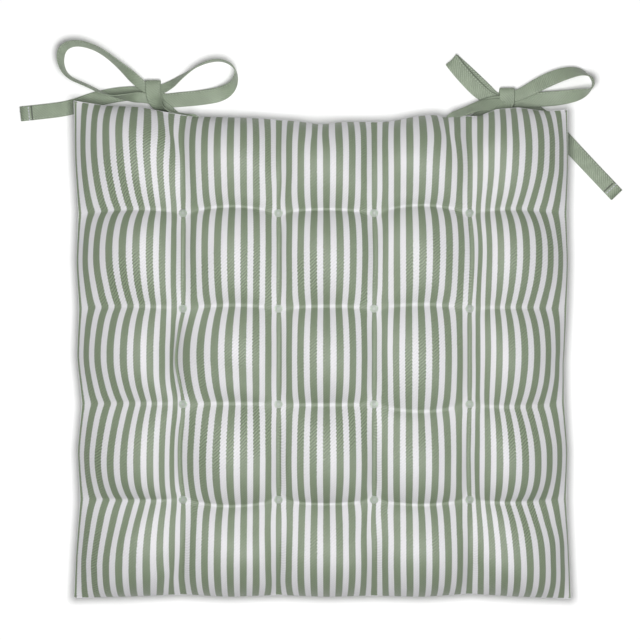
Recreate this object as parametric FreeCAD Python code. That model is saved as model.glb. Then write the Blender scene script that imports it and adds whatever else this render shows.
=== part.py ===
"""Tufted chair seat pad: two sewn cotton panels round a fibre filling, sixteen tufts and four ties.

Millimetres. The origin is the middle of the plane the pad lies on, +Z is up and +Y points to
the back edge, where two pairs of ties are sewn into the seam and tied in bows.
"""
import FreeCAD, Part
import math
import os

from FreeCAD import Vector

os.makedirs("parts", exist_ok=True)

# Overall size
PAD_WIDTH = 400.0           # across the back corners, along X
PAD_DEPTH = 400.0           # from front corners to back corners, along Y
PAD_THICKNESS = 38.0        # crown of a cell above the surface the pad lies on
SEAM_HEIGHT = 17.0          # the seam round the edge, above that surface
SIDE_PULL = 5.0             # how far the middle of each edge is drawn in from its corners
FRONT_PULL = 3.0
BACK_PULL = 17.0
EDGE_POWER = 5.0            # how square the puffed section is
PRESSED_DEPTH = 1.8         # how much each lower crown is pressed flat by the pad's weight
SHOULDER = 0.6              # height over which a pressed crown rounds off

# Cover
FABRIC = 0.6                # woven cotton panel
SEAM_GAP = 0.3              # between the two panels' edges
SEAM_THREAD = 0.5           # thickness of the thread line inside the seam
FILLING_CLEARANCE = 0.3     # between cover and filling

# Tufts
TUFT_COLUMNS = 4
TUFT_ROWS = 4
TUFT_PITCH_X = 76.0
TUFT_PITCH_Y = 76.0
TUFT_OFFSET_X = 3.0         # centre of the tuft grid from the origin
TUFT_OFFSET_Y = -5.0
CREASE_DEPTH = 3.4          # valley along each row and column of tufts
CREASE_WIDTH = 13.0
DIMPLE_DEPTH = 7.0          # further depth of each tuft below the crossing valleys
DISC_RADIUS = 3.2           # clear disc over each tuft
DISC_THICKNESS = 1.0
DISC_CLEARANCE = 0.3        # rim of the disc above the fabric
FILAMENT_RADIUS = 0.4       # nylon filament through the pad
FILAMENT_CLEARANCE = 0.2
FILAMENT_HEAD_RADIUS = 1.2
FILAMENT_HEAD_HEIGHT = 0.5
HEAD_CLEARANCE = 0.1

# Ties
TIE_WIDTH = 12.0
TIE_THICKNESS = 1.0
TIE_GAP = 0.3               # between the two ties of a pair in the seam
TIE_ROOT_INSET = 100.0      # middle of each pair from the side of the pad
TIE_TUCK = 7.0              # length of each tie inside the seam
SLOT_CLEARANCE = 0.3        # round the ties where they enter the seam
STITCH_PIN = 0.3            # radius of the anchoring stitches
STITCH_PITCH = 2.0
STITCH_COUNT = 5
STITCH_BAR = 0.4            # height of the thread bars above and below the ties
STITCH_DEPTH = 4.0          # anchoring stitches, in from the edge

HALF_WIDTH = PAD_WIDTH / 2
HALF_DEPTH = PAD_DEPTH / 2
TUFT_X = [TUFT_OFFSET_X + TUFT_PITCH_X * (i - (TUFT_COLUMNS - 1) / 2) for i in range(TUFT_COLUMNS)]
TUFT_Y = [TUFT_OFFSET_Y + TUFT_PITCH_Y * (i - (TUFT_ROWS - 1) / 2) for i in range(TUFT_ROWS)]
TOP = 1
BOTTOM = -1
GRID = 96                   # spans of each quilted surface
DEGREE = 3                  # of each quilted surface


# ---- quilted surfaces ------------------------------------------------------------------

def back_edge(x):
    """Y of the back seam at a given X."""
    return HALF_DEPTH - BACK_PULL * (1 - (x / HALF_WIDTH) ** 2)


def plan(u, v, inset):
    """Plan position of the surface point (u, v), both from -1 to 1, of a panel drawn in by inset."""
    pull = BACK_PULL if v > 0 else FRONT_PULL
    x = u * (HALF_WIDTH - SIDE_PULL * (1 - v * v)) * (HALF_WIDTH - inset) / HALF_WIDTH
    y = v * (HALF_DEPTH - pull * (1 - u * u)) * (HALF_DEPTH - inset) / HALF_DEPTH
    return x, y


def valley(distance):
    return math.exp(-(distance / CREASE_WIDTH) ** 2)


def sink(x, y):
    """Depth of the creases and dimples at a place on the pad."""
    across = sum(valley(x - c) for c in TUFT_X)
    along = sum(valley(y - c) for c in TUFT_Y)
    return CREASE_DEPTH * (across + along) + DIMPLE_DEPTH * across * along


def puff(u, v):
    """Share of the full height, from 0 at the seam to 1 in the middle."""
    return math.sqrt(max(0.0, 1 - abs(u) ** EDGE_POWER) * max(0.0, 1 - abs(v) ** EDGE_POWER))


def seam_level(side):
    return SEAM_HEIGHT + side * SEAM_GAP / 2


def crown(side):
    """Height of an unpressed cell above or below its panel's seam level."""
    if side == TOP:
        return PAD_THICKNESS - seam_level(TOP)
    return seam_level(BOTTOM) + PRESSED_DEPTH


def pressed(height, floor):
    """A height kept above the floor, with a smooth shoulder round the part that rests on it."""
    over = height - floor
    if over <= -SHOULDER:
        return floor
    if over >= SHOULDER:
        return height
    return floor + (over + SHOULDER) ** 2 / (4 * SHOULDER)


def rise(side, u, v, x, y, cut):
    """Height of a quilted face from its seam level: cut is how far it lies inside the cover's."""
    height = puff(u, v) * (crown(side) - sink(x, y) - cut)
    if side == TOP:
        return height
    return pressed(seam_level(BOTTOM) - height, cut * puff(u, v)) - seam_level(BOTTOM)


def quilted_surface(side, inset, cut):
    """Quilted face drawn in by inset in plan and by cut in height, its edge in the seam plane."""
    steps = [math.sin(math.pi * (i / GRID - 0.5)) for i in range(GRID + 1)]
    poles = []
    for u in steps:
        row = []
        for v in steps:
            x, y = plan(u, v, inset)
            row.append(Vector(x, y, seam_level(side) + rise(side, u, v, x, y, cut)))
        poles.append(row)
    knots = list(range(GRID + 2 - DEGREE))
    repeats = [DEGREE + 1] + [1] * (len(knots) - 2) + [DEGREE + 1]
    surface = Part.BSplineSurface()
    surface.buildFromPolesMultsKnots(poles, repeats, repeats, knots, knots, False, False,
                                     DEGREE, DEGREE)
    return surface


def closed_solid(faces):
    """Solid inside faces that all point outwards."""
    skin = Part.makeShell(faces)
    skin.sewShape()
    return Part.makeSolid(skin)


def facing(face, side):
    """The face turned to point up for TOP or down for BOTTOM."""
    first_s, last_s, first_t, last_t = face.ParameterRange
    normal = face.normalAt((first_s + last_s) / 2, (first_t + last_t) / 2)
    return face if normal.z * side > 0 else face.reversed()


def boundary(face):
    return Part.Wire(Part.__sortEdges__(face.Edges))


def outline_prism(inset, low, high):
    """Upright prism on the pad's outline drawn in by inset."""
    face = Part.Face(boundary(quilted_surface(TOP, inset, 0.0).toShape()))
    face.translate(Vector(0, 0, low - seam_level(TOP)))
    return face.extrude(Vector(0, 0, high - low))


def rod(x, y, low, high, radius):
    return Part.makeCylinder(radius, high - low, Vector(x, y, low))


def tuft_bores(radius):
    return [rod(x, y, -1.0, PAD_THICKNESS + 1, radius) for x in TUFT_X for y in TUFT_Y]


# ---- cover and filling -----------------------------------------------------------------

def tie_roots():
    """Middle of each pair of ties on the back seam."""
    reach = HALF_WIDTH - TIE_ROOT_INSET
    return {"left": (-reach, back_edge(-reach)), "right": (reach, back_edge(reach))}


def tie_stack_height():
    return 2 * TIE_THICKNESS + TIE_GAP


def tie_slots():
    """Openings in the seam that the ties pass through, with room for their anchoring stitches."""
    width = TIE_WIDTH + 2 * SLOT_CLEARANCE
    height = tie_stack_height() + 2 * (STITCH_BAR + SLOT_CLEARANCE)
    depth = TIE_TUCK + SLOT_CLEARANCE
    slots = []
    for x, y in tie_roots().values():
        corner = Vector(x - width / 2, y - depth, SEAM_HEIGHT - height / 2)
        slots.append(Part.makeBox(width, depth + BACK_PULL, height, corner))
    return slots


def cover_panel(side):
    """One cotton panel, sewn to the other along its edge."""
    outer = quilted_surface(side, 0.0, 0.0).toShape()
    inner = quilted_surface(side, FABRIC, FABRIC).toShape()
    rim = Part.makeFace([boundary(outer), boundary(inner)], "Part::FaceMakerBullseye").Faces[0]
    panel = closed_solid([facing(outer, side), facing(inner, -side), facing(rim, -side)])
    return panel.cut(tuft_bores(FILAMENT_RADIUS + FILAMENT_CLEARANCE) + tie_slots())


def filling():
    """Fibre filling: fills the cover, and leaves room for the seam's thread round its edge."""
    cut = FABRIC + FILLING_CLEARANCE
    inset = cut + SEAM_THREAD + FILLING_CLEARANCE
    quilts = [facing(quilted_surface(side, inset, cut).toShape(), side) for side in (TOP, BOTTOM)]
    edge = Part.makeRuledSurface(*[boundary(quilt) for quilt in quilts])
    body = closed_solid(quilts + edge.Faces)
    return body.cut(tuft_bores(FILAMENT_RADIUS + 2 * FILAMENT_CLEARANCE) + tie_slots())


def seam_thread():
    """Thread of the seam round the pad's edge, broken where the ties pass through."""
    inset = FABRIC + FILLING_CLEARANCE
    low, high = SEAM_HEIGHT - SEAM_THREAD / 2, SEAM_HEIGHT + SEAM_THREAD / 2
    outer = outline_prism(inset, low, high)
    inner = outline_prism(inset + SEAM_THREAD, low - 1, high + 1)
    return outer.cut([inner] + tie_slots())


# ---- tufts -----------------------------------------------------------------------------

COVER_FACES = {side: quilted_surface(side, 0.0, 0.0) for side in (TOP, BOTTOM)}


def height_at(side, x, y):
    """Height of a panel's outer face at a place well inside the outline."""
    surface = COVER_FACES[side]
    s = t = (GRID + 1 - DEGREE) / 2     # middle of the surface
    step = 0.01
    for _ in range(30):
        here = surface.value(s, t)
        slope_x = (surface.value(s + step, t).x - here.x) / step
        slope_y = (surface.value(s, t + step).y - here.y) / step
        s += (x - here.x) / slope_x
        t += (y - here.y) / slope_y
    return surface.value(s, t).z


def disc_seat(side, x, y):
    """Height of a disc's face against the fabric: its rim just clears the dimple's wall."""
    spots = [(x + DISC_RADIUS * math.cos(a), y + DISC_RADIUS * math.sin(a))
             for a in (k * math.pi / 4 for k in range(8))]
    heights = [height_at(side, px, py) for px, py in spots]
    rim = max(heights) if side == TOP else min(heights)
    return rim + side * DISC_CLEARANCE


def tuft_disc(side, x, y):
    low, high = sorted((disc_seat(side, x, y), disc_seat(side, x, y) + side * DISC_THICKNESS))
    bore = rod(x, y, low - 1, high + 1, FILAMENT_RADIUS + FILAMENT_CLEARANCE)
    return rod(x, y, low, high, DISC_RADIUS).cut(bore)


def tuft_filament(x, y):
    """Nylon filament pulled through the pad, with a moulded head outside each disc."""
    reach = DISC_THICKNESS + HEAD_CLEARANCE
    low = disc_seat(BOTTOM, x, y) - reach
    high = disc_seat(TOP, x, y) + reach
    shaft = rod(x, y, low - FILAMENT_HEAD_HEIGHT, high + FILAMENT_HEAD_HEIGHT, FILAMENT_RADIUS)
    top_head = rod(x, y, high, high + FILAMENT_HEAD_HEIGHT, FILAMENT_HEAD_RADIUS)
    bottom_head = rod(x, y, low - FILAMENT_HEAD_HEIGHT, low, FILAMENT_HEAD_RADIUS)
    return shaft.fuse([top_head, bottom_head]).removeSplitter()


# ---- ties ------------------------------------------------------------------------------

ACROSS_X = (1.0, 0.0, 0.0)      # width direction of a strip lying flat and running along Y
ACROSS_Y = (0.0, 1.0, 0.0)      # lying flat and running along X
ON_EDGE = (0.0, 0.0, 1.0)
SQUEEZED = 0.65                 # share of the width left inside a tight knot
FULL = 1.0
LOW_TIE = SEAM_HEIGHT - (TIE_THICKNESS + TIE_GAP) / 2
HIGH_TIE = SEAM_HEIGHT + (TIE_THICKNESS + TIE_GAP) / 2
FLOOR = TIE_GAP + TIE_THICKNESS / 2
LAYER = TIE_THICKNESS + TIE_GAP
BAND = 4.5 * LAYER              # height of the band over a knot above the strip under it

# Each route: offset from the pair's root along X and Y, height, width direction, share of width.
ROUTES = {
    "tie_left_a": ("left", [
        (0, -TIE_TUCK, LOW_TIE, ACROSS_X, FULL),
        (0, 7, LOW_TIE, ACROSS_X, FULL),
        (-13.5, 12, 11.6, (0.6, 0.8, 0.0), FULL),
        (-25, 14.5, FLOOR + 3.2 * LAYER, ACROSS_Y, 0.8),
        (-36, 18.4, FLOOR + 3 * LAYER, ACROSS_Y, SQUEEZED),
        (-47, 25.0, 4.7, (0.4, 0.8, 0.1), 0.65),
        (-61, 40, 7.2, ON_EDGE, FULL),
        (-79, 55, 6.6, ON_EDGE, FULL),
        (-97, 61, 6.6, ON_EDGE, FULL),
        (-110.5, 57.5, 6.6, ON_EDGE, FULL),
        (-112, 44, 6.6, ON_EDGE, FULL),
        (-106, 31.5, 6.8, ON_EDGE, FULL),
        (-89, 25, 8.0, ON_EDGE, FULL),
        (-73, 16, 8.6, ON_EDGE, FULL),
        (-56, 15.8, 8.2, (0.0, 0.4, 0.9), 0.9),
        (-45, 16.2, 4.3, (0.0, 0.95, 0.2), 0.7),
        (-35, 14, FLOOR + 2 * LAYER, ACROSS_Y, SQUEEZED),
        (-25, 6, 2.6, (0.5, 0.8, 0.0), 0.8),
        (-14, -6, 1.0, (0.5, 0.8, 0.0), FULL),
        (2, -12.5, FLOOR, ACROSS_Y, FULL),
        (25, -14, FLOOR, ACROSS_Y, FULL),
        (47, -15, FLOOR, ACROSS_Y, FULL),
    ]),
    "tie_left_b": ("left", [
        (0, -TIE_TUCK, HIGH_TIE, ACROSS_X, FULL),
        (0, 7, HIGH_TIE, ACROSS_X, FULL),
        (-14, 11, 14.8, (0.5, 0.8, 0.0), FULL),
        (-26, 8.5, 10.4, (0.7, 0.7, 0.0), FULL),
        (-35.4, 10, 7.6, (0.95, 0.3, 0.0), FULL),
        (-36.4, 18, FLOOR + BAND, ACROSS_X, FULL),
        (-36.4, 29.6, FLOOR + BAND, ACROSS_X, FULL),
        (-36.4, 29.6, FLOOR, ACROSS_X, FULL),
        (-35.4, 19, FLOOR, (0.9, 0.4, 0.0), 0.9),
        (-29, 13.4, FLOOR, (0.5, 0.8, 0.0), 0.9),
        (-17, 14.4, FLOOR, ACROSS_Y, FULL),
        (2, 16, 1.4, ACROSS_Y, FULL),
        (20, 18.8, 3.2, (0.0, 0.9, 0.4), FULL),
        (29.5, 27, 5.6, (-0.3, 0.3, 0.8), FULL),
        (31, 39, 6.8, ON_EDGE, FULL),
        (20, 46.5, 6.8, ON_EDGE, FULL),
        (4, 44, 6.8, ON_EDGE, FULL),
        (-12, 33.5, 6.4, (0.0, -0.3, 0.9), 0.9),
        (-23, 25.6, 3.0, (0.0, -0.9, 0.4), 0.65),
        (-35, 20.5, FLOOR + LAYER, (0.0, -1.0, 0.0), SQUEEZED),
        (-48, 20, 1.5, (0.0, -1.0, 0.0), 0.9),
        (-64, 19, FLOOR, (0.0, -1.0, 0.0), FULL),
        (-84, 15, FLOOR, (0.0, -1.0, 0.0), FULL),
        (-104, 7.6, FLOOR, (0.0, -1.0, 0.0), FULL),
        (-124, 5, FLOOR, (0.0, -1.0, 0.0), FULL),
        (-143.6, 3, FLOOR, (0.0, -1.0, 0.0), FULL),
    ]),
    "tie_right_a": ("right", [
        (0, -TIE_TUCK, LOW_TIE, ACROSS_X, FULL),
        (0, 7, LOW_TIE, ACROSS_X, FULL),
        (13.5, 10.7, 12.6, (0.5, -0.8, 0.0), FULL),
        (26, 10.6, 8.2, (0.2, -0.9, 0.0), FULL),
        (38, 12, FLOOR + 3.4 * LAYER, (0.0, -1.0, 0.0), 0.8),
        (48, 14.6, FLOOR + 3 * LAYER, (0.0, -1.0, 0.0), SQUEEZED),
        (61, 18.9, 5.4, (0.0, -1.0, 0.0), 0.8),
        (77, 28, 7.2, (0.0, -1.0, 0.2), FULL),
        (94, 35, 7.8, (0.0, -0.9, 0.4), FULL),
        (108, 37, 7.8, (0.0, -0.5, 0.8), FULL),
        (118, 31, 7.2, ON_EDGE, FULL),
        (117.5, 22.5, 6.8, ON_EDGE, FULL),
        (107, 18, 5.6, (0.0, 0.7, 0.7), FULL),
        (91, 15.5, 4.0, (0.0, 0.9, 0.3), FULL),
        (75, 14.5, 3.6, ACROSS_Y, FULL),
        (60, 13, FLOOR + 2.2 * LAYER, ACROSS_Y, 0.8),
        (48, 12.4, FLOOR + 2 * LAYER, ACROSS_Y, SQUEEZED),
        (37, 8, FLOOR + 2.2 * LAYER, (-0.4, 0.8, 0.0), 0.7),
        (26, -1, 2.2, (-0.5, 0.8, 0.0), 0.9),
        (10, -9.5, 1.0, (-0.3, 0.9, 0.0), FULL),
        (-10, -13, FLOOR, ACROSS_Y, FULL),
        (-30, -14.5, FLOOR, ACROSS_Y, FULL),
        (-49, -15.5, FLOOR, ACROSS_Y, FULL),
    ]),
    "tie_right_b": ("right", [
        (0, -TIE_TUCK, HIGH_TIE, ACROSS_X, FULL),
        (0, 7, HIGH_TIE, ACROSS_X, FULL),
        (14, 11, 15.2, (0.5, -0.8, 0.0), FULL),
        (27, 9.6, 11.6, (0.3, -0.9, 0.0), FULL),
        (40, 8, 8.8, (0.7, -0.7, 0.0), FULL),
        (48, 9.5, 7.2, (0.95, -0.3, 0.0), FULL),
        (48.6, 14.5, FLOOR + BAND, ACROSS_X, FULL),
        (48.6, 23.4, FLOOR + BAND, ACROSS_X, FULL),
        (48.6, 23.4, FLOOR, ACROSS_X, FULL),
        (46.5, 15, FLOOR, (0.7, 0.7, 0.0), 0.8),
        (39, 14.6, FLOOR, (0.3, 0.9, 0.0), 0.9),
        (30, 22, FLOOR, (0.7, 0.7, 0.0), FULL),
        (17, 34, FLOOR, (0.7, 0.7, 0.0), FULL),
        (4.5, 46.2, 1.1, (0.7, 0.7, 0.0), FULL),
        (3.8, 45.8, 5.0, (0.8, 0.6, 0.0), FULL),
        (15, 33, 4.2, (0.75, 0.65, 0.0), FULL),
        (28, 19.6, 2.7, (0.7, 0.7, 0.0), FULL),
        (38, 14, FLOOR + LAYER, (0.4, 0.9, 0.0), 0.8),
        (48, 13.4, FLOOR + LAYER, ACROSS_Y, SQUEEZED),
        (60, 10.5, 2.0, (0.3, 0.9, 0.0), 0.8),
        (74, 4, 1.2, (0.6, 0.8, 0.0), FULL),
        (88, -9, FLOOR, (0.7, 0.7, 0.0), FULL),
        (103, -26, FLOOR, (0.7, 0.7, 0.0), FULL),
        (120, -44, FLOOR, (0.7, 0.7, 0.0), FULL),
        (137.5, -62.5, FLOOR, (0.7, 0.7, 0.0), FULL),
    ]),
}
BEND_SHARE = 0.45               # part of the shorter run that each bend takes
BEND_STEP = 15.0                # degrees between the sections of a bend


def blend(a, b, share):
    return a + (b - a) * share


def route_stations(route):
    """Positions along straight runs and tangent arcs, each with its place in the route's list.

    Also returns the bends' radii and the path's length.
    """
    spots = [Vector(*point[:3]) for point in route]
    runs = [(b - a).Length for a, b in zip(spots, spots[1:])]
    stations = [(spots[0], (spots[1] - spots[0]) / runs[0], 0.0)]
    radii = []
    length = 0.0
    for i in range(1, len(spots) - 1):
        arriving = (spots[i] - spots[i - 1]) / runs[i - 1]
        leaving = (spots[i + 1] - spots[i]) / runs[i]
        turn = arriving.getAngle(leaving)
        tangent = BEND_SHARE * min(runs[i - 1], runs[i])
        radius = tangent / math.tan(turn / 2)
        radii.append(radius)
        start = spots[i] - arriving * tangent
        inward = (leaving - arriving * math.cos(turn)) / math.sin(turn)
        steps = max(1, math.ceil(math.degrees(turn) / BEND_STEP))
        first = i - tangent / runs[i - 1]
        last = i + tangent / runs[i]
        for k in range(steps + 1):
            angle = turn * k / steps
            position = start + arriving * (radius * math.sin(angle))
            position += inward * (radius * (1 - math.cos(angle)))
            heading = arriving * math.cos(angle) + inward * math.sin(angle)
            stations.append((position, heading, blend(first, last, k / steps)))
        length += (start - stations[-steps - 2][0]).Length + radius * turn
    stations.append((spots[-1], (spots[-1] - spots[-2]) / runs[-1], float(len(spots) - 1)))
    length += (spots[-1] - stations[-2][0]).Length
    return stations, radii, length


def strip_section(route, station, root):
    """Rectangular section of a tie at one station."""
    position, heading, place = station
    low = min(int(place), len(route) - 2)
    share = place - low
    across = Vector(*[blend(a, b, share) for a, b in zip(route[low][3], route[low + 1][3])])
    across = (across - heading * across.dot(heading)).normalize()
    width = TIE_WIDTH * blend(route[low][4], route[low + 1][4], share)
    face = heading.cross(across)
    centre = position + Vector(root[0], root[1], 0)
    corners = []
    for side, level in ((-1, -1), (1, -1), (1, 1), (-1, 1)):
        corners.append(centre + across * (side * width / 2) + face * (level * TIE_THICKNESS / 2))
    return Part.makePolygon(corners + corners[:1])


def tie(name):
    """One folded cotton tie, with holes for the stitches that anchor its end."""
    pair, route = ROUTES[name]
    root = tie_roots()[pair]
    stations, radii, length = route_stations(route)
    sections = [strip_section(route, station, root) for station in stations]
    strip = Part.makeLoft(sections, True, True)
    share = strip.Volume / (TIE_WIDTH * TIE_THICKNESS * length)
    print(name, "length %.1f" % length, "volume share %.3f" % share,
          "radii", " ".join("%.1f" % r for r in radii))
    pins = [rod(x, y, SEAM_HEIGHT - 5, SEAM_HEIGHT + 5, STITCH_PIN + 0.1)
            for x, y in stitch_places(root)]
    return strip.cut(pins)


def stitch_places(root):
    """Needle holes of the stitches that anchor a pair of ties."""
    first = -STITCH_PITCH * (STITCH_COUNT - 1) / 2
    return [(root[0] + first + STITCH_PITCH * i, root[1] - STITCH_DEPTH)
            for i in range(STITCH_COUNT)]


def tie_stitches(pair):
    """Bar of thread over and under a pair of ties, joined through the needle holes."""
    root = tie_roots()[pair]
    half = tie_stack_height() / 2 + 0.1
    pins = [rod(x, y, SEAM_HEIGHT - half, SEAM_HEIGHT + half, STITCH_PIN)
            for x, y in stitch_places(root)]
    length = STITCH_PITCH * (STITCH_COUNT - 1) + 2 * STITCH_PIN
    bars = []
    for level in (half, -half - STITCH_BAR):
        corner = Vector(root[0] - length / 2, root[1] - STITCH_DEPTH - STITCH_PIN,
                        SEAM_HEIGHT + level)
        bars.append(Part.makeBox(length, 2 * STITCH_PIN, STITCH_BAR, corner))
    return bars[0].fuse(pins + bars[1:])


# ---- all pieces ------------------------------------------------------------------------

def write(name, shape):
    shape.exportStep("parts/%s.step" % name)
    print("%-26s solids %d  volume %.1f  valid %s"
          % (name, len(shape.Solids), shape.Volume, shape.isValid()))


write("top_cover", cover_panel(TOP))
write("bottom_cover", cover_panel(BOTTOM))
write("fibre_filling", filling())
write("seam_thread", seam_thread())
for row, tuft_y in enumerate(reversed(TUFT_Y), start=1):
    for column, tuft_x in enumerate(TUFT_X, start=1):
        place = "row%d_col%d" % (row, column)
        write("tuft_disc_top_" + place, tuft_disc(TOP, tuft_x, tuft_y))
        write("tuft_disc_bottom_" + place, tuft_disc(BOTTOM, tuft_x, tuft_y))
        write("tuft_filament_" + place, tuft_filament(tuft_x, tuft_y))
for tie_name in ROUTES:
    write(tie_name, tie(tie_name))
for pair_name in tie_roots():
    write("tie_stitches_" + pair_name, tie_stitches(pair_name))
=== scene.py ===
import math

import bpy
import numpy as np
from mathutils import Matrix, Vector


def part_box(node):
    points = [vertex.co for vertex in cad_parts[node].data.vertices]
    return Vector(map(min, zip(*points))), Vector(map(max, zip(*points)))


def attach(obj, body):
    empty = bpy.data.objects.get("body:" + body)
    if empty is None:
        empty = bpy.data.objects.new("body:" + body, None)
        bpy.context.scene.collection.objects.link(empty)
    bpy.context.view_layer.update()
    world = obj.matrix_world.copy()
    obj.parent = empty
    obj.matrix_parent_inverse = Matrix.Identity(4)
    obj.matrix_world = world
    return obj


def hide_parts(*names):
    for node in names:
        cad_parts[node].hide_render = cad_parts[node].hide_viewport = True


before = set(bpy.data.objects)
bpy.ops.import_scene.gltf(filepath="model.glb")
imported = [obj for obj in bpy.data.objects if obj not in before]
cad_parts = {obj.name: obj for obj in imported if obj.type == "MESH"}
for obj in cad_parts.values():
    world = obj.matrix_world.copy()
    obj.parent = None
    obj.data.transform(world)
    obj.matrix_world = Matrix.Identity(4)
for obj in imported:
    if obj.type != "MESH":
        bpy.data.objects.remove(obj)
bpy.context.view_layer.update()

# A tufted chair seat pad, seen from straight above: x to the right, y to the back, where the ties
# are, and z up from the floor. Sizes are in millimetres and become metres where a mesh is made.

MM = 0.001

# ---------------------------------------------------------------- sizes

SEAM_Z = 17.0
# where the seam lies, corner to corner: it is drawn in beside the tufts and at a few puckers
BACK_SEAM = [(-199, 199.5), (-174, 195.5), (-146, 194.5), (-126, 190.5), (-106, 187), (-53, 185.5),
             (-20, 183), (0, 180), (14, 182.5), (53, 182.5), (75, 187), (91, 188.5), (98, 185.5),
             (111, 187.5), (125, 187), (139, 192.5), (157, 194), (178, 191), (196, 192.5)]
FRONT_SEAM = [(-199, -198.5), (-150, -197), (-111, -195.5), (-75, -197.5), (-35, -196), (3, -197.5),
              (41, -196.5), (79, -197.5), (117, -195), (160, -197.5), (199, -199)]
LEFT_SEAM = [(-199, -198.5), (-197, -160), (-194, -119), (-196, -80), (-192.5, -43), (-196.5, -5),
             (-195, 33), (-197, 70), (-195.5, 109), (-198, 150), (-199, 199.5)]
RIGHT_SEAM = [(199, -199), (197, -160), (195, -119), (196, -80), (193.5, -43), (193, -12),
              (195.5, 33), (196.5, 70), (195.5, 109), (196.5, 150), (196, 192.5)]
TUFT_X = (-111.0, -35.0, 41.0, 117.0)
TUFT_Y = (-119.0, -43.0, 33.0, 109.0)
CELL_CLOTH = 84.0               # cloth between two tufts, before it is gathered
EDGE_CLOTH = 94.0               # cloth between the outer tufts and the seam
CELL_STEPS = 16                 # mesh steps between two tufts
EDGE_STEPS = 18                 # and between the outer tufts and the seam
FABRIC = 0.5                    # thickness of the cloth
STRIPE = 10.5                   # one green and one white stripe, on the flat cloth

TIE_WIDTH, TIE_THICKNESS = 12.0, 1.0
HEM = 9.0                       # turned-over end of each tie
TIE_ROOTS = {"left": (-100.0, 187.25), "right": (100.0, 187.25)}

# ---------------------------------------------------------------- camera

CAMERA_PLACE = (-2 * MM, 24 * MM, 1.8)
CAMERA_LENS, CAMERA_SENSOR = 125.4, 36.0

camera_data = bpy.data.cameras.new("camera")
camera_data.lens = CAMERA_LENS
camera_data.sensor_width = CAMERA_SENSOR
camera_data.clip_start, camera_data.clip_end = 0.05, 20.0
camera = bpy.data.objects.new("camera", camera_data)
camera.location = CAMERA_PLACE
bpy.context.scene.collection.objects.link(camera)
bpy.context.scene.camera = camera

# ---------------------------------------------------------------- materials


class Nodes:
    """A material's node tree, with short calls for the nodes used here."""

    def __init__(self, name):
        self.material = bpy.data.materials.new(name)
        self.material.use_nodes = True
        self.tree = self.material.node_tree
        self.shader = self.tree.nodes["Principled BSDF"]

    def add(self, kind, **settings):
        node = self.tree.nodes.new(kind)
        for key, value in settings.items():
            setattr(node, key, value)
        return node

    def plug(self, socket, value):
        if hasattr(value, "is_output"):
            self.tree.links.new(value, socket)
        else:
            socket.default_value = value

    def math(self, operation, a, b=0.0, c=0.0):
        node = self.add("ShaderNodeMath", operation=operation)
        for socket, value in zip(node.inputs, (a, b, c)):
            self.plug(socket, value)
        return node.outputs[0]

    def attribute(self, name):
        node = self.add("ShaderNodeAttribute", attribute_name=name)
        parts = self.add("ShaderNodeSeparateXYZ")
        self.tree.links.new(node.outputs["Vector"], parts.inputs[0])
        return node.outputs["Vector"], parts.outputs[0], parts.outputs[1], parts.outputs[2]

    def noise(self, vector, scale, detail=2.0):
        node = self.add("ShaderNodeTexNoise")
        self.tree.links.new(vector, node.inputs["Vector"])
        node.inputs["Scale"].default_value = scale
        node.inputs["Detail"].default_value = detail
        return node.outputs["Fac"]

    def ramp(self, value, low, high, to_low=0.0, to_high=1.0):
        node = self.add("ShaderNodeMapRange", interpolation_type="SMOOTHSTEP")
        for socket, number in zip(node.inputs[:5], (value, low, high, to_low, to_high)):
            self.plug(socket, number)
        return node.outputs[0]

    def mix(self, share, a, b):
        node = self.add("ShaderNodeMix", data_type="RGBA")
        self.plug(node.inputs[0], share)
        for socket, value in ((node.inputs[6], a), (node.inputs[7], b)):
            self.plug(socket, value if hasattr(value, "is_output") else (*value, 1.0))
        return node.outputs[2]

    def scale_colour(self, colour, factor):
        node = self.add("ShaderNodeVectorMath", operation="SCALE")
        self.plug(node.inputs[0], colour)
        self.plug(node.inputs["Scale"], factor)
        return node.outputs[0]

    def bump(self, height, strength, distance):
        node = self.add("ShaderNodeBump")
        self.plug(node.inputs["Height"], height)
        node.inputs["Strength"].default_value = strength
        node.inputs["Distance"].default_value = distance
        self.tree.links.new(node.outputs[0], self.shader.inputs["Normal"])

    def wave(self, phase):
        """A wave from 0 to 1, one turn for each unit of phase."""
        return self.math("MULTIPLY_ADD", self.math("SINE", self.math("MULTIPLY", phase, math.tau)),
                         0.5, 0.5)


WHITE_YARN = (0.64, 0.635, 0.655)
GREEN_YARN = (0.187, 0.235, 0.153)
TIE_GREEN = (0.245, 0.297, 0.213)
STITCH_GREEN = (0.36, 0.42, 0.32)
STITCH_PALE = (0.5, 0.5, 0.56)

STRIPE_PHASE = 0.42             # shifts the stripes sideways, as a share of one repeat
GREEN_EDGE = (0.258, 0.282)     # from a green stripe's middle, in repeats: where white sets in
TOOTH_RATE, TOOTH_DEPTH = 0.41, 0.5     # teeth on a stripe's edge: how many per mm, and how deep
COTTON_TWILL = (0.36, -0.41)    # twill lines per mm, across and along the stripes
TIE_TWILL = (0.45, 0.45)        # and along and across a tie
WANDER_SCALE, WANDER = 0.35, 0.8        # how the twill lines wander, and by what share of a line
TOPSTITCH = 4.7                 # from a tie's middle line to its row of stitches
TOPSTITCH_RATE, END_STITCH_RATE = 0.4, 0.42     # stitches per mm, beside the edge and at the end
END_STITCH = HEM - 2.2          # from a tie's end to the stitches across it
HEM_STEP = HEM + 0.2            # from a tie's end to the shadow where the hem stops


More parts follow.
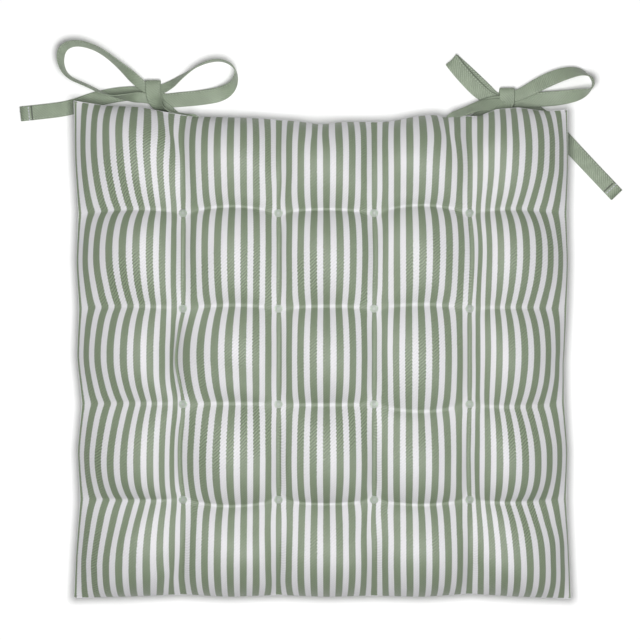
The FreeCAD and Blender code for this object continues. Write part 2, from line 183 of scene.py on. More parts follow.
def striped_cotton():
    m = Nodes("striped_cotton")
    place, x, y, _ = m.attribute("cloth")
    # fine twill, rising to the right, its lines a little uneven
    wander = m.math("MULTIPLY", m.noise(place, WANDER_SCALE), WANDER)
    twill = m.wave(m.math("ADD", wander, m.math("MULTIPLY_ADD", x, COTTON_TWILL[0],
                                                m.math("MULTIPLY", y, COTTON_TWILL[1]))))
    # green and white stripes with small teeth along their edges
    serrated = m.math("MULTIPLY_ADD", m.wave(m.math("MULTIPLY", y, TOOTH_RATE)), TOOTH_DEPTH, x)
    soft = m.math("MULTIPLY_ADD", m.noise(place, 0.5), 0.7, serrated)
    across = m.math("FRACT", m.math("MULTIPLY_ADD", soft, 1 / STRIPE, STRIPE_PHASE))
    from_middle = m.math("ABSOLUTE", m.math("SUBTRACT", across, 0.5))
    green = m.ramp(from_middle, *GREEN_EDGE, 1.0, 0.0)
    yarn = m.noise(place, 1.5, 3.0)
    heather = m.ramp(yarn, 0.2, 0.8, 0.78, 1.2)
    weave = m.ramp(twill, 0.0, 1.0, 0.76, 1.17)
    colour = m.mix(green, WHITE_YARN, GREEN_YARN)
    # the weave shows more in the green yarn than in the white
    shade = m.math("POWER", m.math("MULTIPLY", heather, weave),
                   m.math("MULTIPLY_ADD", green, 1.15, 0.25))
    m.plug(m.shader.inputs["Base Color"], m.scale_colour(colour, shade))
    m.shader.inputs["Roughness"].default_value = 0.5
    m.shader.inputs["Sheen Weight"].default_value = 0.03
    m.shader.inputs["Sheen Roughness"].default_value = 0.45
    m.shader.inputs["Specular IOR Level"].default_value = 0.6
    height = m.math("MULTIPLY_ADD", yarn, 0.25, twill)
    m.bump(height, 0.6, 0.0002)
    return m.material


def green_twill():
    m = Nodes("green_twill")
    place, along, across, from_end = m.attribute("strip")
    wander = m.math("MULTIPLY", m.noise(place, WANDER_SCALE), WANDER)
    twill = m.wave(m.math("ADD", wander, m.math("MULTIPLY_ADD", along, TIE_TWILL[0],
                                                m.math("MULTIPLY", across, TIE_TWILL[1]))))
    yarn = m.noise(place, 1.3, 3.0)
    worn = m.noise(place, 0.12, 2.0)
    # a row of stitches close to one long edge, and across the turned-over end
    beside = m.math("ABSOLUTE", m.math("SUBTRACT", across, TOPSTITCH))
    row = m.ramp(beside, 0.15, 0.5, 1.0, 0.0)
    dash = m.ramp(m.wave(m.math("MULTIPLY", along, TOPSTITCH_RATE)), 0.2, 0.45, 0.0, 1.0)
    stitch = m.math("MULTIPLY", row, dash)
    from_row = m.math("ABSOLUTE", m.math("SUBTRACT", from_end, END_STITCH))
    end_row = m.ramp(from_row, 0.2, 0.6, 1.0, 0.0)
    end_dash = m.ramp(m.wave(m.math("MULTIPLY", across, END_STITCH_RATE)), 0.2, 0.45, 0.0, 1.0)
    pale = m.math("MULTIPLY", end_row, end_dash)
    # painted shadow: a dark line at the foot of the step where the turned-over end stops
    from_hem_shadow = m.math("ABSOLUTE", m.math("SUBTRACT", from_end, HEM_STEP))
    step = m.ramp(from_hem_shadow, 0.35, 0.9, 0.3, 1.0)
    shade = m.math("MULTIPLY", m.ramp(yarn, 0.2, 0.8, 0.8, 1.18),
                   m.ramp(twill, 0.0, 1.0, 0.8, 1.14))
    shade = m.math("MULTIPLY", shade, m.ramp(worn, 0.3, 0.7, 0.92, 1.06))
    # painted shade in the groove along the row of stitches
    shade = m.math("MULTIPLY", shade, m.ramp(beside, 0.3, 1.1, 0.8, 1.0))
    # painted shadow of the hem's step
    shade = m.math("MULTIPLY", shade, step)
    green = m.mix(stitch, m.scale_colour(TIE_GREEN, shade), STITCH_GREEN)
    m.plug(m.shader.inputs["Base Color"], m.mix(pale, green, STITCH_PALE))
    m.shader.inputs["Roughness"].default_value = 0.55
    m.shader.inputs["Sheen Weight"].default_value = 0.04
    m.shader.inputs["Sheen Roughness"].default_value = 0.5
    m.shader.inputs["Specular IOR Level"].default_value = 0.6
    height = m.math("MULTIPLY_ADD", m.math("ADD", stitch, pale), 1.2,
                    m.math("MULTIPLY_ADD", yarn, 0.6, twill))
    m.bump(height, 0.6, 0.00022)
    return m.material


def fibre():
    m = Nodes("polyester_fibre")
    place = m.add("ShaderNodeTexCoord").outputs["Object"]
    tangle = m.noise(place, 900.0, 6.0)
    m.plug(m.shader.inputs["Base Color"], m.mix(tangle, (0.7, 0.7, 0.69), (0.88, 0.88, 0.87)))
    m.shader.inputs["Roughness"].default_value = 0.95
    m.bump(tangle, 0.8, 0.0005)
    return m.material


def thread(name, colour):
    m = Nodes(name)
    place = m.add("ShaderNodeTexCoord").outputs["Object"]
    strands = m.noise(place, 2500.0, 2.0)
    m.plug(m.shader.inputs["Base Color"],
           m.mix(strands, tuple(0.85 * c for c in colour), colour))
    m.shader.inputs["Roughness"].default_value = 0.6
    m.bump(strands, 0.5, 0.0001)
    return m.material


def clear_plastic(name, tint, roughness):
    m = Nodes(name)
    place = m.add("ShaderNodeTexCoord").outputs["Object"]
    haze = m.noise(place, 220.0, 2.0)
    lighter = tuple(min(1.0, 1.08 * c) for c in tint)
    m.plug(m.shader.inputs["Base Color"], m.mix(haze, tint, lighter))
    m.plug(m.shader.inputs["Roughness"], m.ramp(haze, 0.3, 0.7, roughness, roughness + 0.08))
    m.shader.inputs["Transmission Weight"].default_value = 0.75
    m.shader.inputs["IOR"].default_value = 1.4
    m.bump(haze, 0.1, 0.0001)
    return m.material


COTTON = striped_cotton()
TWILL = green_twill()
FIBRE = fibre()
THREAD = thread("sewing_thread", (0.72, 0.72, 0.74))
DISC = clear_plastic("clear_disc", (0.6, 0.68, 0.58), 0.3)
NYLON = clear_plastic("nylon_filament", (0.75, 0.8, 0.75), 0.3)

# ---------------------------------------------------------------- ties

X_ACROSS, Y_ACROSS, ON_EDGE = (1, 0, 0), (0, 1, 0), (0, 0, 1)
BACKWARDS, SLANTED = (0, -1, 0), (.7, .7, 0)
# each tie's side, declared length, and the control points of its line, from the root to the free
# end: offsets from the root, height, direction of the width, share of the full width
ROUTES = {
    "tie_left_a": ("left", 332, [
        (0, -7, 16.35, X_ACROSS, .6), (-2, -1, 14.5, (.6, -.2, .7), .5),
        (-11, -1, 9, (.2, -.3, .93), .7), (-23, 4, 6.6, (0, -.3, .95), .9),
        (-36, 18.4, 4.7, Y_ACROSS, .65),
        (-47, 27, 4.7, (.4, .8, .2), .65), (-61, 40, 7.0, (.25, .3, .9), 1),
        (-79, 54.5, 6.6, (.1, .22, .97), 1), (-97, 60.5, 6.6, (0, .3, .95), 1),
        (-109.5, 56.5, 6.6, (-.42, .2, .9), 1), (-111.5, 44, 6.6, (-.35, 0, .94), 1),
        (-105.5, 32, 6.8, (-.1, -.2, .97), 1), (-89, 25.3, 8, (0, -.22, .97), 1),
        (-73, 16.8, 8.6, (0, -.2, .97), 1),
        (-56, 15.8, 8.2, (0, .4, .9), .9), (-45, 16.2, 4.3, (0, .95, .2), .7),
        (-35, 14, 3.4, Y_ACROSS, .65), (-25, 6, 2.6, (.5, .8, 0), .8), (-14, -6, 1, (.5, .8, 0), 1),
        (2, -12.5, .8, Y_ACROSS, 1), (25, -14, .8, Y_ACROSS, 1), (47, -15, .8, Y_ACROSS, 1)]),
    "tie_left_b": ("left", 348, [
        (0, -7, 17.65, X_ACROSS, .6), (-2, 0.5, 16.5, (.6, -.2, .7), .5),
        (-12, 1.2, 12, (.2, -.3, .93), .7), (-23, 4.5, 9.4, (.1, -.2, .97), 1),
        (-32.5, 9, 8.2, (.75, .2, .6), 1),
        (-36.4, 18, 6.65, X_ACROSS, 1), (-36.4, 29.6, 6.65, X_ACROSS, 1),
        (-36.4, 29.6, .8, X_ACROSS, 1), (-35.4, 19, .8, (.9, .4, 0), .9),
        (-29, 13.4, .8, (.5, .8, 0), .9), (-17, 14.4, .8, Y_ACROSS, 1), (2, 16, 1.4, Y_ACROSS, 1),
        (20, 18.8, 3.2, (0, .9, .4), 1), (29.5, 27, 5.6, (-.3, .3, .8), 1),
        (31, 39, 6.8, ON_EDGE, 1),
        (20, 46.5, 6.8, ON_EDGE, 1), (4, 44, 6.8, ON_EDGE, 1), (-12, 33.5, 6.4, (0, -.3, .9), .9),
        (-23, 25.6, 3, (0, -.9, .4), .65), (-35, 20.5, 2.1, BACKWARDS, .65),
        (-48, 20, 1.5, BACKWARDS, .9), (-64, 19, .8, BACKWARDS, 1), (-84, 15, .8, BACKWARDS, 1),
        (-104, 7.6, .8, BACKWARDS, 1), (-124, 5, .8, BACKWARDS, 1),
        (-143.6, 3, .8, BACKWARDS, 1)]),
    "tie_right_a": ("right", 319, [
        (0, -7, 16.35, X_ACROSS, .6), (2, 0, 15.4, (.6, -.5, .5), .6),
        (12, 3, 12.4, (.2, -.6, .75), .85), (26, 9, 8.2, (.2, -.7, .65), .9),
        (38, 12, 5.22, BACKWARDS, .8), (48, 14.6, 4.7, BACKWARDS, .65),
        (61, 18.9, 5.4, BACKWARDS, .8), (77, 28, 7.2, (0, -1, .2), 1),
        (94, 35, 7.8, (0, -.9, .4), 1),
        (108, 37, 7.8, (0, -.5, .8), 1), (118, 31, 7.2, ON_EDGE, 1), (117.5, 22.5, 6.8, ON_EDGE, 1),
        (107, 18, 5.6, (0, .7, .7), 1), (91, 15.5, 4, (0, .9, .3), 1), (75, 14.5, 3.6, Y_ACROSS, 1),
        (60, 13, 3.66, Y_ACROSS, .8), (48, 12.4, 3.4, Y_ACROSS, .65),
        (37, 8, 3.66, (-.4, .8, 0), .7), (26, -1, 2.2, (-.5, .8, 0), .9),
        (10, -9.5, 1, (-.3, .9, 0), 1), (-10, -13, .8, Y_ACROSS, 1),
        (-30, -14.5, .8, Y_ACROSS, 1), (-49, -15.5, .8, Y_ACROSS, 1)]),
    "tie_right_b": ("right", 320, [
        (0, -7, 17.65, X_ACROSS, .6), (2.5, .2, 16.9, (.6, -.5, .5), .6),
        (13, 3.4, 14.4, (.2, -.6, .75), .85), (27, 9.4, 11.2, (.2, -.7, .65), .9),
        (40, 9, 8.8, (.7, -.7, 0), 1),
        (48, 9.5, 7.2, (.95, -.3, 0), 1), (48.6, 14.5, 6.65, X_ACROSS, 1),
        (48.6, 23.4, 6.65, X_ACROSS, 1), (48.6, 23.4, .8, X_ACROSS, 1),
        (46.5, 15, .8, SLANTED, .8), (39, 14.6, .8, (.3, .9, 0), .9), (30.6, 22.6, .8, SLANTED, 1),
        (17.8, 34.8, .8, SLANTED, 1), (4.8, 46.5, 1.1, SLANTED, 1), (3.8, 45.6, 5, SLANTED, 1),
        (14.6, 32.6, 4.4, SLANTED, 1), (27.8, 19.4, 2.9, SLANTED, 1),
        (38, 14, 2.1, (.4, .9, 0), .8), (48, 13.4, 2.1, Y_ACROSS, .65),
        (60, 10.5, 2, (.3, .9, 0), .8), (74, 4, 1.2, (.6, .8, 0), 1),
        (88, -9, .8, SLANTED, 1), (103, -26, .8, SLANTED, 1), (120, -44, .8, SLANTED, 1),
        (137.5, -62.5, .8, SLANTED, 1)]),
}


def spline_points(rows):
    """Points along the smooth spline that has these rows as its control points."""
    curve = bpy.data.curves.new("line", "CURVE")
    curve.dimensions = "3D"
    curve.resolution_u = 8
    spline = curve.splines.new("NURBS")
    spline.points.add(len(rows) - 1)
    for point, row in zip(spline.points, rows):
        point.co = (*row, 1.0)
    spline.order_u = 3
    spline.use_endpoint_u = True
    holder = bpy.data.objects.new("line", curve)
    bpy.context.scene.collection.objects.link(holder)
    mesh = bpy.data.meshes.new_from_object(holder)
    points = [v.co.copy() for v in mesh.vertices]
    bpy.data.objects.remove(holder)
    bpy.data.curves.remove(curve)
    bpy.data.meshes.remove(mesh)
    return points


# section of a tie: share of the half width, share of the half thickness
SECTION = [(-1, 0), (-.97, .62), (-.9, .86), (-.8, .84), (-.5, 1.0), (0, 1.05), (.5, 1.0),
           (.8, .84), (.9, .86), (.97, .62), (1, 0), (.97, -.62), (.9, -.86), (.8, -.84),
           (.5, -1.0), (0, -1.05), (-.5, -1.0), (-.8, -.84), (-.9, -.86), (-.97, -.62)]
HEM_SWELL, HEM_RAMP = 0.55, 0.8     # how much thicker the hem is, and how long its step takes


def make_mesh(name, verts, faces, material):
    """A smooth object from points in metres."""
    mesh = bpy.data.meshes.new(name)
    mesh.from_pydata([tuple(v) for v in verts], [], faces)
    mesh.update()
    mesh.materials.append(material)
    mesh.shade_smooth()
    obj = bpy.data.objects.new(name, mesh)
    bpy.context.scene.collection.objects.link(obj)
    return obj


def add_vectors(mesh, name, rows):
    """Stores a vector at each point, in millimetres, for the materials."""
    layer = mesh.attributes.new(name, "FLOAT_VECTOR", "POINT")
    layer.data.foreach_set("vector", [c for row in rows for c in row])


def make_tie(name):
    """A flat strip swept along its line, with a thicker hem at its free end."""
    side, length, rows = ROUTES[name]
    root = TIE_ROOTS[side]
    path = spline_points([(root[0] + dx, root[1] + dy, z) for dx, dy, z, _, _ in rows])
    widths = spline_points([width for *_, width, _ in rows])
    shares = [p.x for p in spline_points([(share, 0, 0) for *_, share in rows])]
    verts, strip, faces = [], [], []
    place = [0.0]
    for a, b in zip(path, path[1:]):
        place.append(place[-1] + (b - a).length)
    count = len(SECTION)
    for k, centre in enumerate(path):
        heading = (path[min(k + 1, len(path) - 1)] - path[max(k - 1, 0)]).normalized()
        across = (widths[k] - heading * widths[k].dot(heading)).normalized()
        up = heading.cross(across)
        into_hem = (place[k] - (place[-1] - HEM)) / HEM_RAMP
        hem = 1.0 + HEM_SWELL * min(1.0, max(0.0, into_hem))
        half = TIE_WIDTH / 2 * shares[k]
        for w, t in SECTION:
            thick = TIE_THICKNESS / 2 * t * hem
            verts.append((centre + across * (w * half) + up * thick) * MM)
            strip.append((place[k], w * TIE_WIDTH / 2, place[-1] - place[k]))
        if k:
            base = (k - 1) * count
            faces += [(base + i, base + (i + 1) % count, base + count + (i + 1) % count,
                       base + count + i) for i in range(count)]
    last = (len(path) - 1) * count
    faces.append(tuple(reversed(range(count))))
    faces.append(tuple(last + i for i in range(count)))
    obj = make_mesh(name + "_strip", verts, faces, TWILL)
    add_vectors(obj.data, "strip", strip)
    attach(obj, "root")
    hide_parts(name)


for tie in ROUTES:
    make_tie(tie)

# ---------------------------------------------------------------- cover

# both panels are the same square grid; its lines through the tufts are the creases
STEPS = 3 * CELL_STEPS + 2 * EDGE_STEPS
TUFT_STEPS = [EDGE_STEPS + k * CELL_STEPS for k in range(4)]
HALF_CLOTH = 1.5 * CELL_CLOTH + EDGE_CLOTH


def between(value, places, results):
    """Straight-line reading of results at value, over rising places."""
    for k in range(1, len(places)):
        if value <= places[k] or k == len(places) - 1:
            share = (value - places[k - 1]) / (places[k] - places[k - 1])
            return results[k - 1] + share * (results[k] - results[k - 1])


CLOTH_STEPS = [0] + TUFT_STEPS + [STEPS]
CLOTH_PLACES = [-HALF_CLOTH, -1.5 * CELL_CLOTH, -CELL_CLOTH / 2, CELL_CLOTH / 2, 1.5 * CELL_CLOTH,
                HALF_CLOTH]
CLOTH = [between(k, CLOTH_STEPS, CLOTH_PLACES) for k in range(STEPS + 1)]
# the grid's edge, once round from its front left corner
RIM = [(i, 0) for i in range(STEPS)] + [(STEPS, j) for j in range(STEPS)]
RIM += [(i, STEPS) for i in range(STEPS, 0, -1)] + [(0, j) for j in range(STEPS, 0, -1)]


def seam_place(x, y):
    """Where the seam is pulled to, for a place on the edge of the flat panel."""
    if abs(y) == HALF_CLOTH:
        line = BACK_SEAM if y > 0 else FRONT_SEAM
        place = between(x, CLOTH_PLACES, (line[0][0], *TUFT_X, line[-1][0]))
        return place, between(place, [p[0] for p in line], [p[1] for p in line])
    line = RIGHT_SEAM if x > 0 else LEFT_SEAM
    place = between(y, CLOTH_PLACES, (line[0][1], *TUFT_Y, line[-1][1]))
    return between(place, [p[1] for p in line], [p[0] for p in line]), place


DISC_GAP = 0.15


def disc_face(side, row, column):
    """Height of the fabric under a tuft's disc."""
    low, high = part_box("tuft_disc_%s_row%d_col%d" % (side, 4 - row, column + 1))
    return (low[2] / MM - DISC_GAP) if side == "top" else (high[2] / MM + DISC_GAP)


# how far each crease between two tufts bows: rows towards the back, back row first, left cell
# first; columns to the right, left column first, back cell first
ROW_BOWS = [(3.0, 5.5, 3.0, 6.5, 3.0), (2.0, 3.0, 2.0, 3.5, 1.0),
            (1.0, 1.0, 0.0, -6.0, -2.0), (0.0, -5.0, -3.5, -4.0, -2.0)]
COLUMN_BOWS = [(0.0, 0.0, -5.5, -3.0, 0.0), (0.0, 0.5, 0.5, 0.0, 0.0),
               (0.0, 1.0, 0.0, 0.0, 0.0), (0.0, 2.0, 0.0, -1.0, 0.0)]
# how far the cloth is drawn to the middle along the rows, in each cell
DRAWS = (5.5, 1.0, 0.0, -1.0, -5.5)
# how far a crease rises over the straight line between its ends, in each cell, left or front first
ROW_RISES = (6.0, -0.5, -0.5, -0.5, 6.0)
COLUMN_RISES = [(11.0, 0.0, -4.0, 2.0, 10.0), (11.0, 3.0, 3.0, 3.0, 11.0),
                (11.0, 3.0, 3.0, 3.0, 11.0), (11.0, 2.0, 2.0, 3.0, 10.0)]


def crease_place(side, i, j):
    """Where a point on a crease is pulled to; None for a point off the creases."""
    up = 1 if side == "top" else -1
    x, y = CLOTH[i], CLOTH[j]
    if j in TUFT_STEPS:
        row = TUFT_STEPS.index(j)
        ends = (seam_place(-HALF_CLOTH, y)[0], *TUFT_X, seam_place(HALF_CLOTH, y)[0])
        heights = [SEAM_Z, *(disc_face(side, row, column) for column in range(4)), SEAM_Z]
        at, rises = x, ROW_RISES
    elif i in TUFT_STEPS:
        column = TUFT_STEPS.index(i)
        ends = (seam_place(x, -HALF_CLOTH)[1], *TUFT_Y, seam_place(x, HALF_CLOTH)[1])
        heights = [SEAM_Z, *(disc_face(side, row, column) for row in range(4)), SEAM_Z]
        at, rises = y, COLUMN_RISES[column]
    else:
        return None
    cell = sum(at >= place for place in CLOTH_PLACES[1:5])
    place = between(at, CLOTH_PLACES, ends)
    share = (place - ends[cell]) / (ends[cell + 1] - ends[cell])
    hump = math.sin(math.pi * share)
    z = heights[cell] + share * (heights[cell + 1] - heights[cell]) + up * rises[cell] * hump
    if j in TUFT_STEPS:
        return place + DRAWS[cell] * hump, TUFT_Y[row] + ROW_BOWS[3 - row][cell] * hump, z
    return TUFT_X[column] + COLUMN_BOWS[column][4 - cell] * hump, place, z


SEAM_EASE = 0.01                # share by which the cloth is shorter along the seam
FLAT_SWELL = 6                  # how far the flat panels stand apart in the middle at the start
PATCH_STEP = 2.9                # mesh step of the cloth pressed flat under a disc


def cover_grid():
    """Both flat panels: points, where the pins pull them to, the pins' weights, places on the
    cloth, faces, each grid place's point, and the points that the small folds leave alone."""
    start, pulled, weights, cloth, faces = [], [], [], [], []
    index, fixed = {}, set()
    for side in ("top", "bottom"):
        up = 1 if side == "top" else -1
        for j in range(STEPS + 1):
            for i in range(STEPS + 1):
                edge = i in (0, STEPS) or j in (0, STEPS)
                if edge and side == "bottom":
                    index[side, i, j] = index["top", i, j]
                    continue
                x, y = CLOTH[i], CLOTH[j]
                s, t = x / HALF_CLOTH, y / HALF_CLOTH
                swell = FLAT_SWELL * math.sqrt(max(0.0, (1 - s * s) * (1 - t * t)))
                here = goal = (x * (1 - SEAM_EASE * t ** 6), y * (1 - SEAM_EASE * s ** 6),
                               SEAM_Z + up * swell)
                weight = 0.0
                crease = None if edge else crease_place(side, i, j)
                if edge:
                    goal, weight = (*seam_place(x, y), SEAM_Z), 1.0
                    fixed.add(len(start))
                elif crease:
                    goal, weight = crease, 1.0
                for column, a in enumerate(TUFT_STEPS):
                    for row, b in enumerate(TUFT_STEPS):
                        if abs(i - a) <= 1 and abs(j - b) <= 1:
                            goal = (TUFT_X[column] + (i - a) * PATCH_STEP,
                                    TUFT_Y[row] + (j - b) * PATCH_STEP,
                                    disc_face(side, row, column))
                            weight = 1.0
                            fixed.add(len(start))
                index[side, i, j] = len(start)
                start.append(here)
                pulled.append(goal)
                weights.append(weight)
                cloth.append((x, y, 0.0))
    for side in ("top", "bottom"):
        for j in range(STEPS):
            for i in range(STEPS):
                quad = [index[side, i, j], index[side, i + 1, j], index[side, i + 1, j + 1],
                        index[side, i, j + 1]]
                faces.append(tuple(quad if side == "top" else reversed(quad)))
    return start, pulled, weights, cloth, faces, index, fixed


FRAMES, PULL_FRAMES = 30, 20    # of the simulation, and of them the ones that pull the pins


def inflate(start, pulled, weights, faces):
    """The cloth under pressure, its pins pulled from flat to their goals; returns the points."""
    obj = make_mesh("flat_cover", [Vector(p) * MM for p in start], faces, COTTON)
    obj.shape_key_add(name="flat")
    key = obj.shape_key_add(name="pulled")
    key.data.foreach_set("co", [c * MM for p in pulled for c in p])
    key.value = 0.0
    key.keyframe_insert("value", frame=1)
    key.value = 1.0
    key.keyframe_insert("value", frame=PULL_FRAMES)
    group = obj.vertex_groups.new(name="pins")
    for weight in sorted(set(weights) - {0.0}):
        group.add([k for k, w in enumerate(weights) if w == weight], weight, "REPLACE")
    scene = bpy.context.scene
    scene.frame_start, scene.frame_end = 1, FRAMES
    cloth = obj.modifiers.new("cloth", "CLOTH")
    s = cloth.settings
    s.vertex_group_mass = "pins"
    s.quality, s.mass, s.air_damping = 6, 0.3, 5.0
    s.tension_stiffness, s.compression_stiffness, s.shear_stiffness = 80.0, 1.0, 3.0
    s.tension_damping = s.compression_damping = s.shear_damping = 5.0
    s.bending_stiffness, s.bending_damping = 0.5, 0.5
    s.use_pressure, s.uniform_pressure_force = True, 12.0
    s.effector_weights.gravity = 0.0
    cloth.collision_settings.use_collision = False
    cloth.point_cache.frame_start, cloth.point_cache.frame_end = 1, FRAMES
    for frame_number in range(1, FRAMES + 1):
        scene.frame_set(frame_number)
    shaped = obj.evaluated_get(bpy.context.evaluated_depsgraph_get()).to_mesh()
    points = [v.co / MM for v in shaped.vertices]
    bpy.data.objects.remove(obj)
    scene.frame_set(1)
    return points


start, pulled, weights, cloth, faces, index, fixed = cover_grid()
points = inflate(start, pulled, weights, faces)

PRESSURE = {"top": 0.033, "bottom": -0.024}     # over the skin's tension: its curvature, per mm
SKIN_PASSES, REST_PASSES = 500, 3
FROM_SIMULATION = 0.3           # how much of the simulated cloth's unevenness is kept
LEANS = (-7.0, -7.5, 0.0, 7.5, 7.0)     # how far each row's crowns lean back, front row first
LEAN_MARGIN = 6                 # mesh steps beside the seam over which the lean sets in


def skin(side):
    """One side of the cover as an even skin under pressure, plus a share of the simulated folds."""
    order = [[index[side, i, j] for i in range(STEPS + 1)] for j in range(STEPS + 1)]
    folds = np.array([[points[k] for k in row] for row in order])
    free = np.array([[weights[k] == 0.0 for k in row] for row in order])[1:-1, 1:-1, None]
    even = folds.copy()
    from_side = np.minimum(np.arange(1, STEPS), STEPS - np.arange(1, STEPS))
    edge_share = np.minimum(1.0, from_side / LEAN_MARGIN)
    for _ in range(SKIN_PASSES):
        along = even[1:-1, 2:] - even[1:-1, :-2]
        forth = even[2:, 1:-1] - even[:-2, 1:-1]
        total = even[1:-1, 2:] + even[1:-1, :-2] + even[2:, 1:-1] + even[:-2, 1:-1]
        total = (total + PRESSURE[side] / 4 * np.cross(along, forth)) / 4
        even[1:-1, 1:-1] = np.where(free, total, even[1:-1, 1:-1])
    rest = folds - even
    for _ in range(REST_PASSES):
        total = (rest[1:-1, 2:] + rest[1:-1, :-2] + rest[2:, 1:-1] + rest[:-2, 1:-1]
                 + 4 * rest[1:-1, 1:-1]) / 8
        rest[1:-1, 1:-1] = np.where(free, total, rest[1:-1, 1:-1])
    even += FROM_SIMULATION * rest
    if side == "top":
        for j in range(1, STEPS):
            cell = sum(j >= step for step in TUFT_STEPS)
            share = (j - CLOTH_STEPS[cell]) / (CLOTH_STEPS[cell + 1] - CLOTH_STEPS[cell])
            even[j, 1:-1, 1] += np.where(free[j - 1, :, 0], LEANS[cell] * math.sin(math.pi * share)
                                         * edge_share, 0.0)
    for row, places in zip(order, even):
        for k, place in zip(row, places):
            points[k] = Vector(place)


skin("top")
skin("bottom")

# small folds: two ends, depth, reach, and how far the cloth beside each is drawn in
FOLDS = [((-127, 191), (-113, 148), 3.0, 4.0, 3.0), ((97, 186), (103, 150), 3.0, 4.5, 3.0),
         ((-2, 181), (-5, 160), 2.5, 4.0, 2.0), ((-123, -196), (-117, -160), 3.0, 4.0, 2.5),
         ((-36, -197), (-38, -172), 2.2, 3.5, 2.0),
         ((193, -12), (170, -8), 2.2, 4.0, 1.5),
         ((38, -128), (36, -150), 1.8, 4.0, 1.5), ((-36, 118), (-30, 140), 1.6, 4.0, 1.5),
         ((-111, -38), (-118, 0), 3.0, 3.5, 2.0), ((-118, -4), (-112, 30), 2.5, 3.5, 2.0),
         ((150, 193), (143, 165), 1.8, 5.0, 1.5), ((-194, 109), (-165, 104), 1.5, 5.0, 0.0)]


FOLD_FULL, FOLD_FADE = 0.35, 2.2        # share of a fold at full depth, and how fast it ends
DRAW_REACH = 3.5                # how many times further the cloth is drawn in than it dents
DRAW_AT_SEAM = 0.3              # share of the draw that is left at the seam
SIDE_EDGE, FRONT_EDGE, BACK_EDGE, TAPER = 197, 197, 188, 25


def edge_taper(p):
    """0 at the seam, 1 from TAPER inside it."""
    gap = min(SIDE_EDGE - abs(p.x), FRONT_EDGE + p.y, BACK_EDGE - p.y)
    return min(1.0, max(0.0, gap / TAPER))


def folded(p):
    """The point moved by the small folds pressed into the top."""
    q = p.copy()
    share = min(1.0, edge_taper(p) + DRAW_AT_SEAM)
    for a, b, depth, reach, draw in FOLDS:
        start_point, run = Vector(a), Vector(b) - Vector(a)
        along = (p.xy - start_point).dot(run) / run.length_squared
        beside = (p.xy - start_point).cross(run) / run.length
        fade = math.exp(-(max(0.0, -along, along - FOLD_FULL) * FOLD_FADE) ** 2)
        dent = math.exp(-(beside / reach) ** 2) * fade
        q.z -= depth * dent
        sideways = Vector((run.y, -run.x)) / run.length
        near = math.exp(-(beside / (DRAW_REACH * reach)) ** 2)
        pull = -draw * math.tanh(beside / reach) * near * fade
        q.x += sideways.x * pull * share
        q.y += sideways.y * pull * share
    return q


FLOOR_GAP, SHOULDER = 0.4, 1.2
CLEAR = 8                       # shoulders over the floor from which nothing is pressed


def settle(z):
    """Presses what would be under the floor flat, with a soft shoulder."""
    over = (z - FLOOR_GAP) / SHOULDER
    if over > CLEAR:
        return z
    return FLOOR_GAP + SHOULDER * math.log1p(math.exp(over))


for (side, i, j), k in index.items():
    if side == "top" and k not in fixed:
        points[k] = folded(points[k])
for p in points:
    p.z = settle(p.z)

whole = bpy.data.meshes.new("whole_cover")
whole.from_pydata([tuple(p) for p in points], [], faces)
whole.update()
normals = [n.vector.copy() for n in whole.vertex_normals]


SEAM_GAP = 0.1                  # how far each panel's inner face stands back from the seam line
RIM_CREASE, TUFT_CREASE = 1.0, 0.6      # sharpness of the rim and of the creases between tufts


def panel(side, node):
    """One panel as a thin closed shell: its outer face, an inner face and a rim in the seam."""
    lift = SEAM_GAP if side == "top" else -SEAM_GAP
    keys = [(side, i, j) for j in range(STEPS + 1) for i in range(STEPS + 1)]
    outer = [points[index[k]] for k in keys]
    inner = [points[index[k]] - normals[index[k]] * FABRIC for k in keys]
    line = [j * (STEPS + 1) + i for i, j in RIM]
    for k in line:
        inner[k] = inner[k] + Vector((0, 0, lift))
    count = len(outer)
    quads = []
    for j in range(STEPS):
        for i in range(STEPS):
            a = j * (STEPS + 1) + i
            quad = (a, a + 1, a + STEPS + 2, a + STEPS + 1)
            if side == "bottom":
                quad = tuple(reversed(quad))
            quads.append(quad)
            quads.append(tuple(count + k for k in reversed(quad)))
    for a, b in zip(line, line[1:] + line[:1]):
        quad = (b, a, count + a, count + b)
        quads.append(quad if side == "top" else tuple(reversed(quad)))
    obj = make_mesh(side + "_panel", [p * MM for p in outer + inner], quads, COTTON)
    add_vectors(obj.data, "cloth", [cloth[index[k]] for k in keys] * 2)
    crease = obj.data.attributes.new("crease_edge", "FLOAT", "EDGE")
    sharp = obj.data.attributes.new("sharp_edge", "BOOLEAN", "EDGE")
    ring = set(line)
    for edge in obj.data.edges:
        a, b = edge.vertices
        if (a in ring and b in ring) or (a - count in ring and b - count in ring):
            crease.data[edge.index].value = RIM_CREASE
            sharp.data[edge.index].value = True
    on_crease = {k for k, (_, i, j) in enumerate(keys) if weights[index[side, i, j]]
                 and index[side, i, j] not in fixed
                 and (j in TUFT_STEPS or TUFT_STEPS[0] < j < TUFT_STEPS[3])}
    for edge in obj.data.edges:
        a, b = edge.vertices
        if a in on_crease and b in on_crease:
            crease.data[edge.index].value = TUFT_CREASE
    smooth = obj.modifiers.new("smooth", "SUBSURF")
    smooth.levels = smooth.render_levels = 1
    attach(obj, "root")
    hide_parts(node)


panel("top", "top_cover")
panel("bottom", "bottom_cover")

# the filling just inside both panels: it stands back along evened normals, so that it doesn't poke
# through the cover in the creases
FILLING_INSET, NORMAL_PASSES = 1.4, 4
outward = [n.copy() for n in normals]
for _ in range(NORMAL_PASSES):
    sums = [n.copy() for n in outward]
    for edge in whole.edges:
        a, b = edge.vertices
        sums[a] += outward[b]
        sums[b] += outward[a]
    outward = [n.normalized() for n in sums]
filling = make_mesh("filling", [(p - n * FILLING_INSET) * MM for p, n in zip(points, outward)],
                    faces, FIBRE)
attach(filling, "root")
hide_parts("fibre_filling")

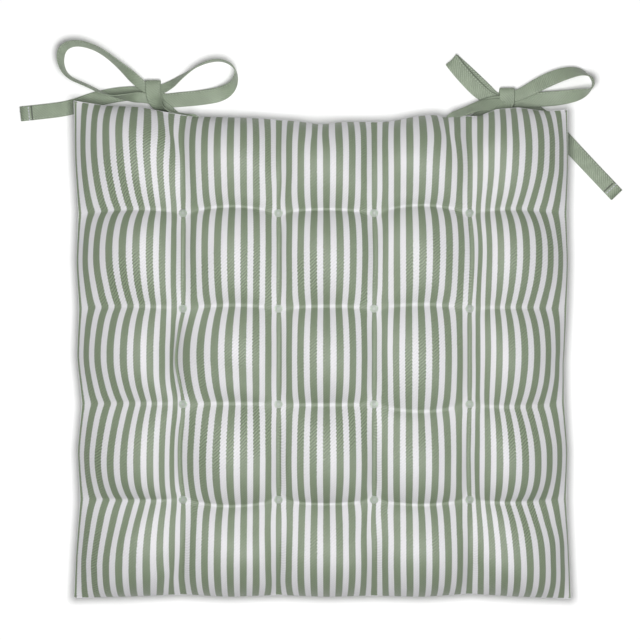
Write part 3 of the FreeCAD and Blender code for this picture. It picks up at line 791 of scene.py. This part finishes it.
# the thread that closes the seam, just inside the two panels' edge
THREAD_INSET, THREAD_RADIUS, THREAD_SIDES = 0.25, 0.28, 6
line = [points[index["top", i, j]] - normals[index["top", i, j]] * THREAD_INSET for i, j in RIM]
verts, quads = [], []
for k, p in enumerate(line):
    heading = (line[(k + 1) % len(line)] - line[k - 1]).normalized()
    side_way = heading.cross(Vector((0, 0, 1))).normalized()
    for turn in range(THREAD_SIDES):
        angle = turn * math.tau / THREAD_SIDES
        verts.append((p + side_way * (THREAD_RADIUS * math.cos(angle))
                      + Vector((0, 0, THREAD_RADIUS * math.sin(angle)))) * MM)
        a, b = k * THREAD_SIDES, (k + 1) % len(line) * THREAD_SIDES
        after = (turn + 1) % THREAD_SIDES
        quads.append((a + turn, a + after, b + after, b + turn))
seam = make_mesh("seam_line", verts, quads, THREAD)
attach(seam, "root")
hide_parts("seam_thread")

# ---------------------------------------------------------------- pieces kept from the CAD model

KEPT = {"tuft_disc": DISC, "tuft_filament": NYLON, "tie_stitches": THREAD}
for name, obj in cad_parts.items():
    for start_of_name, material in KEPT.items():
        if name.startswith(start_of_name):
            for material_slot in obj.material_slots:
                material_slot.material = material

# ---------------------------------------------------------------- floor and light

floor_nodes = Nodes("floor")
grain = floor_nodes.noise(floor_nodes.add("ShaderNodeTexCoord").outputs["Object"], 40.0)
floor_nodes.plug(floor_nodes.shader.inputs["Base Color"],
                 floor_nodes.mix(grain, (0.94, 0.94, 0.94), (0.96, 0.96, 0.96)))
floor_nodes.shader.inputs["Roughness"].default_value = 0.9
FLOOR_HALF, FLOOR_Z = 6, -0.0005        # metres
floor = make_mesh("floor", [(x * FLOOR_HALF, y * FLOOR_HALF, FLOOR_Z)
                            for x, y in ((-1, -1), (1, -1), (1, 1), (-1, 1))],
                  [(0, 1, 2, 3)], floor_nodes.material)

WORLD_STRENGTH = 0.28
LAMP_HEIGHT, LAMP_SIZE, LAMP_POWER = 0.75, 0.35, 9.9    # metres, metres, watts

world = bpy.data.worlds.new("studio")
world.use_nodes = True
world.node_tree.nodes["Background"].inputs["Color"].default_value = (1.0, 1.0, 1.0, 1.0)
world.node_tree.nodes["Background"].inputs["Strength"].default_value = WORLD_STRENGTH
bpy.context.scene.world = world


def softbox(name, location, size, power):
    """A soft lamp whose light doesn't fade with distance, so the pad's corners stay bright."""
    light = bpy.data.lights.new(name, "AREA")
    light.shape = "SQUARE"
    light.size = size
    light.energy = power
    light.use_nodes = True
    nodes = light.node_tree.nodes
    falloff = nodes.new("ShaderNodeLightFalloff")
    falloff.inputs["Strength"].default_value = 1.0
    light.node_tree.links.new(falloff.outputs["Constant"], nodes["Emission"].inputs["Strength"])
    obj = bpy.data.objects.new(name, light)
    obj.location = location
    obj.rotation_euler = (-Vector(location)).to_track_quat("-Z", "Y").to_euler()
    bpy.context.scene.collection.objects.link(obj)


softbox("overhead", (0.0, 0.0, LAMP_HEIGHT), LAMP_SIZE, LAMP_POWER)
bpy.context.scene.view_settings.view_transform = "Standard"
